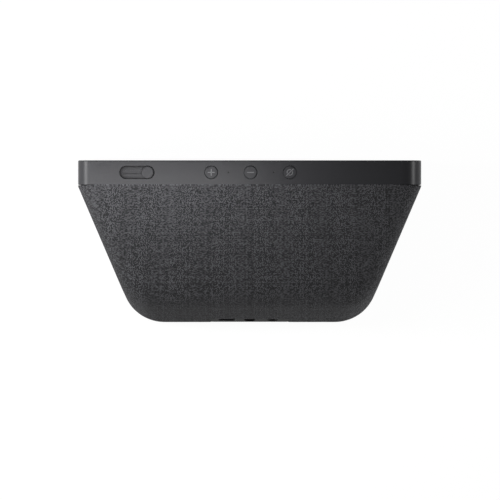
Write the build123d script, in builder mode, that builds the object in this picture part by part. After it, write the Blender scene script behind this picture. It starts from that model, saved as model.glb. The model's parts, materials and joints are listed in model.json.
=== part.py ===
from build123d import *
import os
from math import atan2, cos, pi, radians, sin, sqrt, tan

os.makedirs("parts", exist_ok=True)

# A smart display speaker: a leaning screen in a thin frame, and a cloth-covered body that tapers
# behind it. Origin: on the table, under the middle of the bounding box. +Z up, the screen faces -Y,
# +X is to the right when looking at the screen. Millimetres and degrees.
#
# Most places are given in the panel's own frame: x across, then the depth behind the frame's front
# face, then the height up along the leaning panel from the frame's lower edge.

# Overall
frame_width = 200.4
frame_height = 134.4        # measured up the lean
frame_depth = 14.1
frame_corner = 11.5
lean_angle = 15.0
front_lift = 6.1            # table to the frame's lower front edge
overall_depth = 99.5        # frame's front edge to the back of the cloth
skin_swell = 0.017          # the smooth cloth body stands this far past its rear line

# Frame
frame_wall = 2.6
rebate_wall = 1.3
rebate_depth = 1.3
front_wall = 1.3
frame_edge_round = 0.7
rim = 1.5                   # the frame's edge seen round the glass
small_fit = 0.1             # between pieces that fit in one another

# Glass and display
glass_thickness = 1.1
glass_set = 0.1             # glass below the rim
gasket_thickness = 0.2
gasket_lap = 7.0
display_width = 184.0
display_height = 113.0
display_thickness = 3.2
display_mid = 67.0
bracket_thickness = 0.8
bracket_screw_r = 1.0
bracket_boss_r = 2.1
bracket_boss_heights = (20.0, 67.0, 114.0)

# Top controls
control_depth = 7.05
button_pitch = 22.95
button_mid = -0.5
button_r = 3.72
button_gap = 0.28
button_proud = 0.3
button_travel = 0.6
flange_extra = 0.5
flange_thickness = 0.75
stem_r = 1.2
mic_pitch = 26.5
mic_hole_r = 0.45
recess_length = 20.6
recess_width = 7.8
recess_depth = 1.5
knob_r = 3.45
knob_rest = 59.6
knob_proud = 0.2
shutter_travel = 12.4
neck_length = 3.4
neck_width = 1.6
slide_gap = 0.2             # between sliding pieces of the shutter
blade_thickness = 0.3
blade_half = 4.4
blade_flange = 0.7
blade_flange_half = 14.7    # wide enough to keep the knob's slot covered at both ends

# Camera and button board
camera_height = 127.3
camera_width = 6.2
camera_hole_r = 2.6
sensor_x = 84.0
sensor_width = 4.0
carrier_width = 40.0
board_thickness = 1.2
button_board_width = 67.0
button_board_depth = 7.4
switch_width = 5.0
switch_height = 2.8
boss_r = 2.0

# Main board
main_board_width = 140.0
main_board_height = 70.0
main_board_x = 8.0
main_board_mid = 70.0
main_board_thickness = 1.6
standoff = 5.8
standoff_r = 2.6
standoff_inset = 5.0
shield_width = 56.0
shield_height = 36.0
shield_thickness = 2.4
pad_thickness = 0.8
sink_width = 70.0
sink_height = 46.0
sink_base = 1.4
fin_height = 4.2
fin_thickness = 1.0
fin_pitch = 5.0

# Cloth body
shadow_gap = 0.5            # between frame and cloth
flush_length = 0.7          # cloth that runs straight back before it tapers
side_taper = 22.86
back_fall = 41.4            # fall of the sloping back below the depth direction
base_height = 2.0           # table to the cloth's underside
body_corner = 11.3          # upper corners and lower edge
rear_corner = 26.0          # upright corners at the back
rear_round = 45.0           # sloping back to upright rear
outline_count = 17
cloth = 0.8
cloth_gap = 0.15
housing_wall = 2.4
lip_thickness = 1.5

# Speaker chamber
chamber_gap = 0.2
chamber_wall = 2.2
chamber_floor = 24.0        # table to the chamber's underside
cover_front = 22.0          # depth of the chamber cover's front
cover_thickness = 2.0
chamber_gasket_thickness = 0.6
chamber_boss_r = 3.5
chamber_boss_length = 5.4
chamber_screw_r = 1.3
post_r = 4.0

# Drivers
driver_depth = 50.8
driver_height = 61.5
seat_depth = 4.0            # driver seats stand in from the chamber's wall
seat_r = 24.5
seat_ear_r = 3.2
driver_opening_r = 21.6
flange_r = 23.5
basket_depth = 14.0
basket_wall = 1.1
cone_rim_r = 18.6
cone_thickness = 0.45
coil_r = 9.55
coil_thickness = 0.65
coil_reach = 19.0
magnet_r = 13.0
magnet_depth = 10.0
magnet_floor = 2.0
roll_r = 1.45
roll_thickness = 0.5
driver_travel = 2.0
driver_screw_place = 25.0

# Passive radiator on the sloping back
radiator_run = 52.0         # from the frame's top edge, down the slope
radiator_length = 78.0
radiator_width = 26.0
radiator_land = 6.0
radiator_plate_length = 72.0
radiator_plate_width = 20.0
radiator_roll_height = 2.0

# Grilles behind the cloth
slot_width = 2.6
slot_pitch = 4.7
grille_r = 19.5
slope_slot_length = 24.0
slope_slots = 15

# Ports
port_width = 46.0
port_panel_height = 9.6
port_thickness = 2.1
port_recess = 1.0
port_z = 13.4
port_board_top = 8.6
port_board_width = 52.0
port_board_depth = 25.0
port_pitch = 13.5
jack_bore_r = 3.0
jack_pin_r = 1.0
audio_bore_r = 1.8
audio_nozzle_r = 2.9

# Base
base_front = 21.0
base_back = 85.0
base_margin = 14.0
base_corner = 10.0
base_underside = 1.2
foot_set = 0.6
foot_margin = 2.5
hem = 5.0                   # cloth turned under and clamped by the base plate
base_screw_head_r = 2.6
base_screw_r = 1.3

# Worked out from the sizes above
tilt = radians(lean_angle)
taper = radians(side_taper)
fall = radians(back_fall)
front_y = -overall_depth / 2 - frame_edge_round * (cos(tilt) + sin(tilt) - 1)
frame_mid = frame_height / 2
glass_back = glass_set + glass_thickness
recess_floor = glass_back + gasket_thickness
wall_back = recess_floor + front_wall
top_inner = frame_height - frame_wall
body_front = frame_depth + shadow_gap + flush_length
cloth_front = frame_depth + shadow_gap
rebate_floor = frame_depth - rebate_depth
display_back = glass_back + display_thickness
bracket_back = display_back + bracket_thickness
board_front = bracket_back + standoff
board_back = board_front + main_board_thickness
shield_back = board_back + shield_thickness
pad_back = shield_back + pad_thickness
housing_inset = cloth + cloth_gap
chamber_inset = housing_inset + housing_wall + chamber_gap
chamber_inner = chamber_inset + chamber_wall
seat_inset = chamber_inner + seat_depth      # where the surround's outer face rests
cover_back = cover_front + cover_thickness
chamber_front = cover_back + chamber_gasket_thickness
housing_floor = base_height + housing_inset + housing_wall
button_places = [button_mid + button_pitch * k for k in (1, 0, -1)]
mic_places = [button_mid - 0.3 + mic_pitch / 2, button_mid - 0.3 - mic_pitch / 2]
knob_end = knob_rest + shutter_travel
camera_x = knob_end
rear_y = overall_depth / 2 - skin_swell

lean = Plane(origin=(0, front_y, front_lift), x_dir=(1, 0, 0), z_dir=(0, sin(tilt), cos(tilt)))
depth_axis = Axis(lean.origin, lean.y_dir)
height_axis = Axis(lean.origin, lean.z_dir)


def facing(x, depth, height):
    """Plane at a place in the panel's frame that looks out of the screen, its y up the panel."""
    return Plane(origin=lean.from_local_coords(Vector(x, depth, height)), x_dir=(1, 0, 0),
                 z_dir=lean.y_dir * -1)


def rising(x, depth, height):
    """Plane at a place in the panel's frame that looks up the panel, its y towards the back."""
    return Plane(origin=lean.from_local_coords(Vector(x, depth, height)), x_dir=(1, 0, 0),
                 z_dir=lean.z_dir)


def sideways(x):
    """Plane across x whose local x is the depth and local y the height in the panel's frame."""
    return Plane(origin=lean.from_local_coords(Vector(x, 0, 0)), x_dir=lean.y_dir, z_dir=(1, 0, 0))


def side_plane(side, inset):
    """Plane on one tapering side wall at the driver's centre, sunk by inset, looking outward."""
    across = side * (frame_width / 2 - (driver_depth - body_front) * tan(taper))
    outward = lean.x_dir * (side * cos(taper)) + lean.y_dir * sin(taper)
    centre = lean.from_local_coords(Vector(across, driver_depth, driver_height))
    return Plane(origin=centre - outward * inset, x_dir=lean.z_dir, z_dir=outward)


def slope_plane(inset):
    """Plane on the sloping back at the radiator's centre, sunk by inset, looking outward."""
    outward = lean.y_dir * sin(fall) + lean.z_dir * cos(fall)
    centre = lean.from_local_coords(Vector(0, body_front + radiator_run * cos(fall),
                                           frame_height - radiator_run * sin(fall)))
    return Plane(origin=centre - outward * inset, x_dir=(1, 0, 0), z_dir=outward)


def panel_point(y, z):
    """Depth and height in the panel's frame of a place y behind the front edge and z up."""
    return (y * cos(tilt) - (z - front_lift) * sin(tilt), y * sin(tilt) + (z - front_lift) * cos(tilt))


def body_block(inset):
    """The cloth body's solid, sunk by inset: outlines that fan up from its lower front edge."""
    base_z = base_height + inset
    hinge_height = (base_z - front_lift + body_front * sin(tilt)) / cos(tilt)
    hinge = lean.from_local_coords(Vector(0, body_front, hinge_height))
    crest = lean.from_local_coords(Vector(0, body_front, frame_height))
    slope_normal = Vector(0, sin(fall + tilt), cos(fall + tilt))
    slope_reach = crest.dot(slope_normal) - inset
    rear_reach = rear_y - inset
    bend = rear_round - inset
    bend_y = rear_reach - bend
    bend_z = (slope_reach - bend - bend_y * slope_normal.Y) / slope_normal.Z
    first = 1.0

    def reach(ray):
        """Distance from the hinge line along a ray to the sloping back, its bend or the rear."""
        offset_y = bend_y - hinge.Y
        offset_z = bend_z - hinge.Z
        along = offset_y * ray.Y + offset_z * ray.Z
        spare = along ** 2 - offset_y ** 2 - offset_z ** 2 + bend ** 2
        if spare > 0:
            hit = along + sqrt(spare)
            turn = atan2(hit * ray.Z - offset_z, hit * ray.Y - offset_y)
            if 0 <= turn <= pi / 2 - fall - tilt:
                return hit
        to_slope = (slope_reach - hinge.dot(slope_normal)) / ray.dot(slope_normal)
        if ray.Y < 0.01:
            return to_slope
        return min(to_slope, (rear_reach - hinge.Y) / ray.Y)

    outlines = []
    for k in range(outline_count):
        share = k / (outline_count - 1)
        angle = (pi / 2 - tilt) * (1 - share)
        ray = Vector(0, cos(angle), sin(angle))
        far = reach(ray)
        narrowing = ray.dot(lean.y_dir) * tan(taper)
        half = frame_width / 2 - inset / cos(taper)
        near_half = half - first * narrowing
        far_half = half - far * narrowing
        with BuildSketch(Plane(origin=hinge, x_dir=(1, 0, 0), z_dir=(0, -ray.Z, ray.Y))) as outline:
            with BuildLine():
                Polyline((-near_half, first), (near_half, first), (far_half, far), (-far_half, far),
                         close=True)
            make_face()
            corner = body_corner + (rear_corner - body_corner) * share - inset
            fillet(outline.vertices().sort_by(Axis.Y)[-2:], corner)
        outlines.append(outline.sketch)
    with BuildPart() as block:
        loft(outlines)
        underside = block.faces().sort_by(Axis.Z)[0]
        lower_edges = underside.edges().sort_by(Axis.Y)[1:]
        fillet(lower_edges, body_corner - inset)
        extrude(block.faces().sort_by(depth_axis)[0], amount=flush_length)
    return block.part


def between_depths(solid, front, back):
    """The part of a solid between two depths in the panel's frame."""
    with BuildPart() as slab:
        with BuildSketch(facing(0, front, frame_mid)):
            Rectangle(frame_width * 2, frame_height * 2)
        extrude(amount=front - back)
        add(solid, mode=Mode.INTERSECT)
    return slab.part


def above(solid, z):
    """The part of a solid above a height over the table."""
    with BuildPart() as upper:
        add(solid)
        split(bisect_by=Plane.XY.offset(z), keep=Keep.TOP)
    return upper.part


def ribbon(x, width, thickness, bend, *points):
    """A flat cable of even width through points given as depth and height."""
    with BuildPart() as cable:
        with BuildSketch(sideways(x)):
            with BuildLine():
                FilletPolyline(*points, radius=bend)
            trace(line_width=thickness)
        extrude(amount=width / 2, both=True)
    return cable.part


def write(piece, name):
    """Label a finished piece and write it to its own file."""
    piece.label = name
    export_step(piece, f"parts/{name}.step")


# ---- Frame, glass and display ----

with BuildPart() as front_frame:
    with BuildSketch(facing(0, 0, frame_mid)):
        RectangleRounded(frame_width, frame_height, frame_corner)
    extrude(amount=-frame_depth)
    fillet(front_frame.faces().sort_by(depth_axis)[0].edges(), frame_edge_round)
    with BuildSketch(facing(0, frame_depth, frame_mid)):
        RectangleRounded(frame_width - 2 * frame_wall, frame_height - 2 * frame_wall,
                         frame_corner - frame_wall)
    extrude(amount=frame_depth - wall_back, mode=Mode.SUBTRACT)
    with BuildSketch(facing(0, frame_depth, frame_mid)):
        RectangleRounded(frame_width - 2 * rebate_wall, frame_height - 2 * rebate_wall,
                         frame_corner - rebate_wall)
    extrude(amount=rebate_depth, mode=Mode.SUBTRACT)
    with BuildSketch(facing(0, 0, frame_mid)):
        RectangleRounded(frame_width - 2 * rim, frame_height - 2 * rim, frame_corner - rim)
    extrude(amount=-recess_floor, mode=Mode.SUBTRACT)
    with BuildSketch(facing(0, 0, display_mid)):
        Rectangle(display_width + 6 * small_fit, display_height + 6 * small_fit)
    with BuildSketch(facing(0, 0, camera_height)):
        with Locations((camera_x, 0)):
            Circle(camera_hole_r)
        with Locations((sensor_x, 0)):
            Circle(1.2)
    extrude(amount=-wall_back, mode=Mode.SUBTRACT)
    # Bosses for the display bracket, and for the button board under the top wall
    for height in bracket_boss_heights:
        with BuildSketch(facing(0, display_back, height)):
            with GridLocations(display_width + 6, 0, 2, 1):
                Circle(bracket_boss_r)
        extrude(amount=display_back - recess_floor)
        with BuildSketch(facing(0, display_back, height)):
            with GridLocations(display_width + 6, 0, 2, 1):
                Circle(bracket_screw_r + 0.05)
        extrude(amount=display_back - recess_floor - 0.6, mode=Mode.SUBTRACT)
    board_boss_length = 4.4
    with BuildSketch(rising(button_mid, control_depth, top_inner - board_boss_length)):
        with GridLocations(button_board_width - 5, 0, 2, 1):
            Circle(boss_r)
    extrude(amount=board_boss_length + 0.5)
    with BuildSketch(rising(button_mid, control_depth, top_inner - board_boss_length)):
        with GridLocations(button_board_width - 5, 0, 2, 1):
            Circle(0.85)
    extrude(amount=board_boss_length - 1, mode=Mode.SUBTRACT)
    # Button holes, microphone holes and the shutter's recess in the top wall
    with BuildSketch(rising(0, control_depth, top_inner - 1)):
        with Locations(*[(x, 0) for x in button_places]):
            Circle(button_r + button_gap)
        with Locations(*[(x, 0) for x in mic_places]):
            Circle(mic_hole_r)
        with Locations(((knob_rest + knob_end) / 2, 0)):
            Rectangle(shutter_travel + neck_length + 4 * small_fit, neck_width + 3 * small_fit)
    extrude(amount=frame_wall + 2, mode=Mode.SUBTRACT)
    with BuildSketch(rising((knob_rest + knob_end) / 2, control_depth, frame_height - recess_depth)):
        SlotOverall(recess_length, recess_width)
    extrude(amount=recess_depth + 1, mode=Mode.SUBTRACT)
write(front_frame.part, "front_frame")

glass_width = frame_width - 2 * rim - 2 * small_fit
glass_height = frame_height - 2 * rim - 2 * small_fit
with BuildPart() as cover_glass:
    with BuildSketch(facing(0, glass_set, frame_mid)):
        RectangleRounded(glass_width, glass_height, frame_corner - rim - small_fit)
    extrude(amount=-glass_thickness)
    chamfer(cover_glass.faces().sort_by(depth_axis)[0].edges(), 0.2)
write(cover_glass.part, "cover_glass")

with BuildPart() as glass_gasket:
    with BuildSketch(facing(0, glass_back, frame_mid)):
        RectangleRounded(glass_width - 1, glass_height - 1, frame_corner - rim - small_fit - 0.5)
        with Locations((0, display_mid - frame_mid)):
            Rectangle(display_width + 2, display_height + 2, mode=Mode.SUBTRACT)
        with Locations((camera_x, camera_height - frame_mid)):
            Circle(camera_hole_r + small_fit, mode=Mode.SUBTRACT)
        with Locations((sensor_x, camera_height - frame_mid)):
            Circle(1.3, mode=Mode.SUBTRACT)
    extrude(amount=-gasket_thickness)
write(glass_gasket.part, "glass_gasket")

with BuildPart() as display_panel:
    with BuildSketch(facing(0, glass_back, display_mid)):
        Rectangle(display_width, display_height)
    extrude(amount=-display_thickness)
write(display_panel.part, "display_panel")

flex_slot_height = 20.0
standoff_places = [(main_board_x + sx * (main_board_width / 2 - standoff_inset),
                    main_board_mid + sy * (main_board_height / 2 - standoff_inset))
                   for sx in (-1, 1) for sy in (-1, 1)]
with BuildPart() as display_bracket:
    with BuildSketch(facing(0, display_back, display_mid)):
        Rectangle(frame_width - 2 * frame_wall - 8 * small_fit, display_height)
    extrude(amount=-bracket_thickness)
    with BuildSketch(facing(0, bracket_back, 0)):
        with Locations(*standoff_places):
            Circle(standoff_r)
    extrude(amount=-standoff)
    with BuildSketch(facing(0, board_front, 0)):
        with Locations(*standoff_places):
            Circle(1.25)
    extrude(amount=standoff - 0.6, mode=Mode.SUBTRACT)
    with BuildSketch(facing(0, display_back, 0)):
        with Locations(*[(sx * (display_width / 2 + 3), height)
                         for sx in (-1, 1) for height in bracket_boss_heights]):
            Circle(bracket_screw_r + 0.1)
        with Locations((0, flex_slot_height)):
            Rectangle(44, 2)
    extrude(amount=-bracket_thickness, mode=Mode.SUBTRACT)
write(display_bracket.part, "display_bracket")


def screws(plane, places, shank_r, shank_length, head_r, head_height):
    """Pan-head screws at places on a plane, heads in front of it and shanks behind it."""
    with BuildPart() as group:
        with BuildSketch(plane):
            with Locations(*places):
                Circle(head_r)
        extrude(amount=head_height)
        fillet(group.faces().sort_by(Axis(plane.origin, plane.z_dir))[-len(places):].edges(),
               head_height / 3)
        with BuildSketch(plane):
            with Locations(*places):
                Circle(shank_r)
        extrude(amount=-shank_length)
        with BuildSketch(plane.offset(head_height)):
            with Locations(*places):
                Rectangle(head_r * 1.1, head_r * 0.25)
                Rectangle(head_r * 0.25, head_r * 1.1)
        extrude(amount=-head_height / 2, mode=Mode.SUBTRACT)
    return group.part


def backward(depth):
    """Plane at a depth that looks towards the back, its y up the panel and its x reversed."""
    return Plane(origin=lean.from_local_coords(Vector(0, depth, 0)), x_dir=(-1, 0, 0), z_dir=lean.y_dir)


write(screws(backward(bracket_back), [(sx * (display_width / 2 + 3), height)
                                      for sx in (-1, 1) for height in bracket_boss_heights],
             bracket_screw_r, 2.9, 1.9, 1.0), "bracket_screws")

# ---- Top controls ----

flange_top = top_inner - 0.05
stem_end = flange_top - flange_thickness - 1.8
for name, x in zip(("volume_up_button", "volume_down_button", "mute_button"), button_places):
    with BuildPart() as button:
        with BuildSketch(rising(x, control_depth, flange_top)):
            Circle(button_r)
        extrude(amount=frame_height + button_proud - flange_top)
        fillet(button.faces().sort_by(height_axis)[-1].edges(), 0.4)
        with BuildSketch(rising(x, control_depth, flange_top)):
            Circle(button_r + flange_extra)
        extrude(amount=-flange_thickness)
        with BuildSketch(rising(x, control_depth, flange_top - flange_thickness)):
            Circle(stem_r)
        extrude(amount=stem_end - flange_top + flange_thickness)
    write(button.part, name)

button_board_top = top_inner - board_boss_length
with BuildPart() as button_board:
    with BuildSketch(rising(button_mid, control_depth, button_board_top)):
        Rectangle(button_board_width, button_board_depth)
        with GridLocations(button_board_width - 5, 0, 2, 1):
            Circle(0.9, mode=Mode.SUBTRACT)
    extrude(amount=-board_thickness)
write(button_board.part, "button_board")

under_board = Plane(origin=lean.from_local_coords(Vector(button_mid, control_depth,
                                                         button_board_top - board_thickness)),
                    x_dir=(1, 0, 0), z_dir=lean.z_dir * -1)
write(screws(under_board, [(-(button_board_width - 5) / 2, 0), ((button_board_width - 5) / 2, 0)],
             0.8, 3.6, 1.6, 0.9), "button_board_screws")

with BuildPart() as tact_switches:
    with BuildSketch(rising(0, control_depth, button_board_top)):
        with Locations(*[(x, 0) for x in button_places]):
            Rectangle(switch_width, switch_width)
    extrude(amount=switch_height)
    with BuildSketch(rising(0, control_depth, stem_end - button_travel - 0.1)):
        with Locations(*[(x, 0) for x in button_places]):
            Circle(stem_r + 3 * small_fit)
    extrude(amount=switch_height, mode=Mode.SUBTRACT)
write(tact_switches.part, "tact_switches")

mic_height = 1.0
with BuildPart() as microphones:
    with BuildSketch(rising(0, control_depth, button_board_top)):
        with Locations(*[(x, 0) for x in mic_places]):
            Rectangle(3.5, 2.7)
    extrude(amount=mic_height)
write(microphones.part, "microphones")

with BuildPart() as mic_boots:
    with BuildSketch(rising(0, control_depth, button_board_top + mic_height)):
        with Locations(*[(x, 0) for x in mic_places]):
            Circle(1.8)
            Circle(mic_hole_r, mode=Mode.SUBTRACT)
    extrude(amount=board_boss_length - mic_height)
write(mic_boots.part, "mic_boots")

# ---- Camera and its sliding shutter ----

carrier_front = wall_back + 5.8
carrier_x = camera_x - 4
blade_front = wall_back + 0.3
flange_upper = top_inner - 0.3
flange_under = flange_upper - blade_flange
groove_floor = flange_under - slide_gap
with BuildPart() as camera_carrier:
    with BuildSketch(rising(carrier_x, (carrier_front + rebate_floor - slide_gap) / 2, top_inner)):
        Rectangle(carrier_width, rebate_floor - slide_gap - carrier_front)
    extrude(amount=-7.8)
    with BuildSketch(rising(carrier_x, carrier_front, groove_floor)):
        Rectangle(carrier_width, 2 * 2.9)
    extrude(amount=3, mode=Mode.SUBTRACT)
write(camera_carrier.part, "camera_carrier")

barrel_r = 2.4
lens_r = 1.6
lens_front = blade_front + blade_thickness + 0.3
module_front = lens_front + 1.6
with BuildPart() as camera_module:
    with BuildSketch(facing(camera_x, module_front, camera_height)):
        RectangleRounded(camera_width, camera_width, 0.5)
    extrude(amount=module_front - carrier_front)
    with BuildSketch(facing(camera_x, lens_front, camera_height)):
        Circle(barrel_r)
    extrude(amount=lens_front - module_front)
    with BuildSketch(facing(camera_x, lens_front, camera_height)):
        Circle(lens_r)
    extrude(amount=-1.2, mode=Mode.SUBTRACT)
write(camera_module.part, "camera_module")

with BuildPart() as camera_lens:
    with BuildSketch(facing(camera_x, lens_front + 0.2, camera_height)):
        Circle(lens_r - 0.02)
    extrude(amount=-1.0)
write(camera_lens.part, "camera_lens")

with BuildPart() as light_sensor:
    with BuildSketch(facing(sensor_x, carrier_front - 3.4, camera_height)):
        Rectangle(sensor_width, sensor_width)
    extrude(amount=-3.4)
write(light_sensor.part, "light_sensor")

knob_under = frame_height - recess_depth + small_fit
with BuildPart() as shutter_knob:
    with BuildSketch(rising(knob_rest, control_depth, knob_under)):
        Circle(knob_r)
    extrude(amount=frame_height + knob_proud - knob_under)
    fillet(shutter_knob.faces().sort_by(height_axis)[-1].edges(), 0.35)
    with BuildSketch(rising(knob_rest, control_depth, flange_upper)):
        Rectangle(neck_length, neck_width)
    extrude(amount=knob_under - flange_upper)
    with BuildSketch(rising(knob_rest, control_depth, flange_upper)):
        Rectangle(neck_length - 1, neck_width - 0.8)
    extrude(amount=-blade_flange)
write(shutter_knob.part, "shutter_knob")

blade_end = display_mid + display_height / 2 + 0.7
flange_end = carrier_front + 2.6
with BuildPart() as shutter_blade:
    with BuildSketch(rising(knob_rest, (blade_front + flange_end) / 2, flange_upper)):
        Rectangle(2 * blade_flange_half, flange_end - blade_front)
    extrude(amount=-blade_flange)
    with BuildSketch(rising(knob_rest, blade_front + blade_thickness / 2, flange_upper)):
        Rectangle(2 * blade_half, blade_thickness)
    extrude(amount=blade_end - flange_upper)
    with BuildSketch(rising(knob_rest, control_depth, flange_upper)):
        Rectangle(neck_length - 0.96, neck_width - 0.76)
    extrude(amount=-blade_flange, mode=Mode.SUBTRACT)
write(shutter_blade.part, "shutter_blade")

# ---- Main board and cooling ----

with BuildPart() as main_board:
    with BuildSketch(facing(main_board_x, board_front, main_board_mid)):
        RectangleRounded(main_board_width, main_board_height, 2)
    extrude(amount=-main_board_thickness)
    with BuildSketch(facing(0, board_front, 0)):
        with Locations(*standoff_places):
            Circle(1.4)
    extrude(amount=-main_board_thickness, mode=Mode.SUBTRACT)
write(main_board.part, "main_board")

write(screws(backward(board_back), [(-x, height) for x, height in standoff_places],
             1.2, main_board_thickness + 4.6, 2.2, 1.2), "board_screws")

with BuildPart() as processor_shield:
    with BuildSketch(facing(main_board_x, board_back, main_board_mid)):
        RectangleRounded(shield_width, shield_height, 1)
    extrude(amount=-shield_thickness)
    with BuildSketch(facing(main_board_x, board_back, main_board_mid)):
        Rectangle(shield_width - 0.8, shield_height - 0.8)
    extrude(amount=0.4 - shield_thickness, mode=Mode.SUBTRACT)
write(processor_shield.part, "processor_shield")

with BuildPart() as thermal_pad:
    with BuildSketch(facing(main_board_x, shield_back, main_board_mid)):
        Rectangle(shield_width - 8, shield_height - 8)
    extrude(amount=-pad_thickness)
write(thermal_pad.part, "thermal_pad")

fin_count = int((sink_width - fin_thickness) // fin_pitch) + 1
with BuildPart() as heat_sink:
    with BuildSketch(facing(main_board_x, pad_back, main_board_mid)):
        Rectangle(sink_width, sink_height)
    extrude(amount=-sink_base)
    with BuildSketch(facing(main_board_x, pad_back + sink_base, main_board_mid)):
        with GridLocations(fin_pitch, 0, fin_count, 1):
            Rectangle(fin_thickness, sink_height)
    extrude(amount=-fin_height)
write(heat_sink.part, "heat_sink")

flex_end = main_board_mid + main_board_height / 2 - 1.2
write(ribbon(0, 40, 0.3, 1.5, (display_back, flex_slot_height), (display_back + 4, flex_slot_height),
             (display_back + 4, 40), (board_front, 40)), "display_flex")
write(ribbon(button_mid + 6, 12, 0.3, 1.5, (control_depth + 1, button_board_top - board_thickness),
             (control_depth + 1, flex_end), (board_front, flex_end)), "button_flex")
write(ribbon(camera_x, 4, 0.3, 1.5, (carrier_front - 1, camera_height - camera_width / 2),
             (carrier_front - 1, flex_end), (board_front, flex_end)), "camera_flex")

antenna_thickness = 0.6
with BuildPart() as antennas:
    with BuildSketch(rising(-72, 7.5, top_inner)):
        Rectangle(32, 6)
    extrude(amount=-antenna_thickness)
    with BuildSketch(rising(64, 7.5, frame_wall)):
        Rectangle(32, 6)
    extrude(amount=antenna_thickness)
write(antennas.part, "antennas")

# ---- Cloth body: nested shells ----

cloth_outer = body_block(0)
cloth_inner = body_block(cloth)
housing_outer = body_block(housing_inset)
housing_inner = body_block(housing_inset + housing_wall)
chamber_solid = above(between_depths(body_block(chamber_inset), cover_front, 200), chamber_floor)
chamber_space = above(between_depths(body_block(chamber_inner), cover_front - 1, 200),
                      chamber_floor + chamber_wall)


def base_outline(margin, corner):
    """The base plate's outline on the table, with a margin inside the cloth's underside."""
    halves = []
    for y in (base_front, base_back):
        depth = panel_point(y, base_height)[0]
        halves.append(frame_width / 2 - (depth - body_front) * tan(taper) - margin)
    shift = margin - base_margin
    with BuildSketch(mode=Mode.PRIVATE) as outline:
        with BuildLine():
            Polyline((-halves[0], front_y + base_front + shift), (halves[0], front_y + base_front + shift),
                     (halves[1], front_y + base_back - shift), (-halves[1], front_y + base_back - shift),
                     close=True)
        make_face()
        fillet(outline.vertices(), corner)
    return outline.sketch


rear_plane = Plane(origin=(0, rear_y, 0), x_dir=(-1, 0, 0), z_dir=(0, 1, 0))
with BuildPart() as fabric_cover:
    add(cloth_outer)
    add(cloth_inner, mode=Mode.SUBTRACT)
    with BuildSketch(Plane.XY):
        add(base_outline(base_margin + hem - 2 * small_fit, base_corner))
    extrude(amount=base_height + cloth + 1, mode=Mode.SUBTRACT)
    with BuildSketch(rear_plane.offset(2)):
        with Locations((0, port_z)):
            RectangleRounded(port_width + 8 * small_fit, port_panel_height + 8 * small_fit, 2.3)
    extrude(amount=-6, mode=Mode.SUBTRACT)
write(fabric_cover.part, "fabric_cover")

post_places = [(sx * x, front_y + y) for sx in (-1, 1) for x, y in ((60, 40), (42, 78))]
port_board_mid = rear_y - port_recess - port_thickness - 6.5 - port_board_depth / 2
board_post_places = [(sx * (port_board_width / 2 - 4), port_board_mid + sy * (port_board_depth / 2 - 4))
                     for sx in (-1, 1) for sy in (-1, 1)]
port_board_thickness = 1.6
with BuildPart() as rear_housing:
    add(housing_outer)
    add(housing_inner, mode=Mode.SUBTRACT)
    # Lip that seats in the frame's rebate
    with BuildSketch(facing(0, rebate_floor, frame_mid)):
        RectangleRounded(frame_width - 2 * (rebate_wall + small_fit),
                         frame_height - 2 * (rebate_wall + small_fit), frame_corner - rebate_wall)
        RectangleRounded(frame_width - 2 * (rebate_wall + small_fit + lip_thickness),
                         frame_height - 2 * (rebate_wall + small_fit + lip_thickness),
                         frame_corner - rebate_wall - lip_thickness, mode=Mode.SUBTRACT)
    extrude(amount=rebate_floor - cloth_front)
    # Posts under the chamber and the port board
    with BuildSketch(Plane.XY.offset(housing_floor - 0.5)):
        with Locations(*post_places):
            Circle(post_r)
    extrude(amount=chamber_floor - housing_floor + 0.5)
    with BuildSketch(Plane.XY.offset(housing_floor - 0.5)):
        with Locations(*board_post_places):
            Circle(2.5)
    extrude(amount=port_board_top - port_board_thickness - housing_floor + 0.5)
    with BuildSketch(Plane.XY):
        with Locations(*post_places):
            Circle(base_screw_r + 0.05)
    extrude(amount=12, mode=Mode.SUBTRACT)
    # Grilles
    for side in (-1, 1):
        with BuildSketch(side_plane(side, housing_inset - 1)):
            for k in range(-3, 4):
                with Locations((0, k * slot_pitch)):
                    SlotOverall(2 * sqrt(grille_r ** 2 - (k * slot_pitch) ** 2), slot_width)
        extrude(amount=-housing_wall - 2, mode=Mode.SUBTRACT)
    with BuildSketch(slope_plane(housing_inset - 1)):
        with GridLocations(slot_pitch, 0, slope_slots, 1):
            SlotOverall(slope_slot_length, slot_width, rotation=90)
    extrude(amount=-housing_wall - 2, mode=Mode.SUBTRACT)
    with BuildSketch(rear_plane.offset(1)):
        with Locations((0, port_z)):
            RectangleRounded(port_width + 2 * small_fit, port_panel_height + 2 * small_fit, 2)
    extrude(amount=-7, mode=Mode.SUBTRACT)
write(rear_housing.part, "rear_housing")

# ---- Speaker chamber ----

chamber_screw_places = [(sx * x, height) for sx in (-1, 1)
                        for x, height in ((86.5, 40), (55, 112), (40, 30.5))]
chamber_body = between_depths(chamber_solid, chamber_front, 200)
with BuildPart() as seats:
    for side in (-1, 1):
        with BuildSketch(side_plane(side, chamber_inset)):
            Circle(seat_r)
            with GridLocations(2 * driver_screw_place, 0, 2, 1):
                Circle(seat_ear_r)
        extrude(amount=-chamber_wall - seat_depth)
    with BuildSketch(slope_plane(chamber_inset)):
        SlotOverall(radiator_length + 2 * radiator_land, radiator_width + 2 * radiator_land)
    extrude(amount=-chamber_wall - seat_depth)
    with BuildSketch(backward(chamber_front)):
        with Locations(*chamber_screw_places):
            Circle(chamber_boss_r)
    extrude(amount=chamber_boss_length)
    add(chamber_body, mode=Mode.INTERSECT)

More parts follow.
